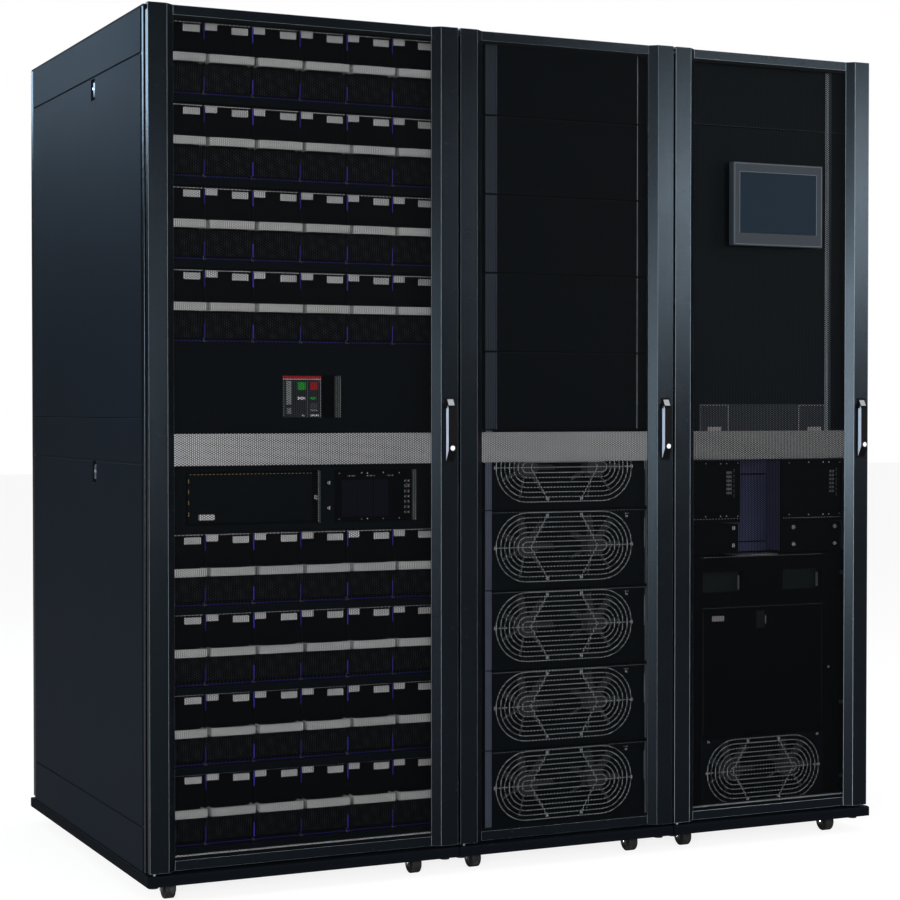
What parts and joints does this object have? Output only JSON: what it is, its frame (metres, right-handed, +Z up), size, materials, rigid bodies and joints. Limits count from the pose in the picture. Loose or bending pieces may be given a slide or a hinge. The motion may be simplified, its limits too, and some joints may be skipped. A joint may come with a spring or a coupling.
{
  "type": "modular ups cabinet row",
  "caption": "Row of joined floor cabinets for a modular uninterruptible power supply, with perforated doors, battery modules, power modules and a bypass cabinet with a display.",
  "frame": {"origin": "centre of the overall box, on the floor", "axes": "+X to the right along the front, +Y to the back, +Z up; the doors face -Y"},
  "size_m": [1.983, 1.092, 2.031],
  "materials": {
    "black_powder_coat": "fine satin powder coat, blue black",
    "perforated_black": "satin powder coat on perforated sheet",
    "perforated_rear": "satin powder coat on perforated sheet",
    "silver_band": "satin anodised plate",
    "handle_black": "semi gloss moulding with a bright side",
    "seat_black": "matt moulding",
    "lock_chrome": "polished",
    "bezel_black": "semi gloss moulding",
    "screen_glass": "dark glass, switched off",
    "zinc_steel": "zinc plated",
    "caster_tread": "black tread",
    "foot_black": "matt",
    "inner_black": "satin black sheet",
    "module_plastic": "moulded black",
    "grip_grey": "moulded pale grey green",
    "breaker_grey": "moulded mid grey",
    "guard_wire": "black wire, satin",
    "fan_grey": "moulded grey",
    "pale_steel": "pale zinc plated",
    "latch_steel": "zinc plated",
    "sleeve_grey": "satin pale grey",
    "bay_violet": "satin, violet grey",
    "label_grey": "satin mid grey"
  },
  "bodies": {
    "cabinets": {"base_frames": "black_powder_coat", "battery_breaker": "breaker_grey", "battery_shelves": "inner_black", "battery_switch_panel": "inner_black", "battery_terminal_boxes": "inner_black", "battery_window_sleeves": "sleeve_grey", "bypass_fan_box": "inner_black", "bypass_label_plate": "label_grey", "bypass_switch_module": "inner_black", "bypass_terminal_bay": "bay_violet", "bypass_terminal_boxes": "inner_black", "bypass_upper_panels": "inner_black", "caster_forks": "zinc_steel", "caster_wheels": "caster_tread", "corner_posts": "black_powder_coat", "door_pivots": "zinc_steel", "end_skirts": "black_powder_coat", "fan_guards": "guard_wire", "fan_rotors": "fan_grey", "floor_ledges": "pale_steel", "front_and_rear_skirts": "black_powder_coat", "joining_brackets": "black_powder_coat", "left_side_panels": "black_powder_coat", "levelling_feet": "foot_black", "light_rails": "pale_steel", "lower_battery_grips": "grip_grey", "lower_battery_modules": "module_plastic", "power_blank_panels": "inner_black", "power_modules": "inner_black", "rear_door_frames": "black_powder_coat", "rear_door_meshes": "perforated_rear", "right_side_panels": "black_powder_coat", "roof_panels": "black_powder_coat", "side_cheeks": "inner_black", "side_panel_latches": "latch_steel", "top_rails": "black_powder_coat", "upper_battery_grips": "grip_grey", "upper_battery_modules": "module_plastic"},
    "battery_door": {"battery_door_frame": "black_powder_coat", "battery_door_mesh": "perforated_black", "battery_door_band": "silver_band", "battery_handle_seat": "seat_black"},
    "battery_handle": {"battery_door_handle": "handle_black", "battery_handle_lock": "lock_chrome"},
    "power_door": {"power_door_frame": "black_powder_coat", "power_door_mesh": "perforated_black", "power_door_band": "silver_band", "power_handle_seat": "seat_black"},
    "power_handle": {"power_door_handle": "handle_black", "power_handle_lock": "lock_chrome"},
    "bypass_door": {"bypass_door_frame": "black_powder_coat", "bypass_door_mesh": "perforated_black", "bypass_door_band": "silver_band", "bypass_handle_seat": "seat_black", "display_bezel": "bezel_black", "display_screen": "screen_glass"},
    "bypass_handle": {"bypass_door_handle": "handle_black", "bypass_handle_lock": "lock_chrome"}
  },
  "joints": [
    {"name": "battery_door_hinge", "type": "hinge", "parent": "cabinets", "child": "battery_door", "pos_m": [-0.972, -0.521, 1.05], "axis": [0, 0, -1], "range_deg": [0, 95]},
    {"name": "power_door_hinge", "type": "hinge", "parent": "cabinets", "child": "power_door", "pos_m": [-0.197, -0.521, 1.05], "axis": [0, 0, -1], "range_deg": [0, 95]},
    {"name": "bypass_door_hinge", "type": "hinge", "parent": "cabinets", "child": "bypass_door", "pos_m": [0.403, -0.521, 1.05], "axis": [0, 0, -1], "range_deg": [0, 95]},
    {"name": "battery_handle_lift", "type": "hinge", "parent": "battery_door", "child": "battery_handle", "pos_m": [-0.23825, -0.5345, 1.127], "axis": [-1, 0, 0], "range_deg": [0, 30]},
    {"name": "power_handle_lift", "type": "hinge", "parent": "power_door", "child": "power_handle", "pos_m": [0.36175, -0.5345, 1.127], "axis": [-1, 0, 0], "range_deg": [0, 30]},
    {"name": "bypass_handle_lift", "type": "hinge", "parent": "bypass_door", "child": "bypass_handle", "pos_m": [0.96175, -0.5345, 1.127], "axis": [-1, 0, 0], "range_deg": [0, 30]}
  ]
}
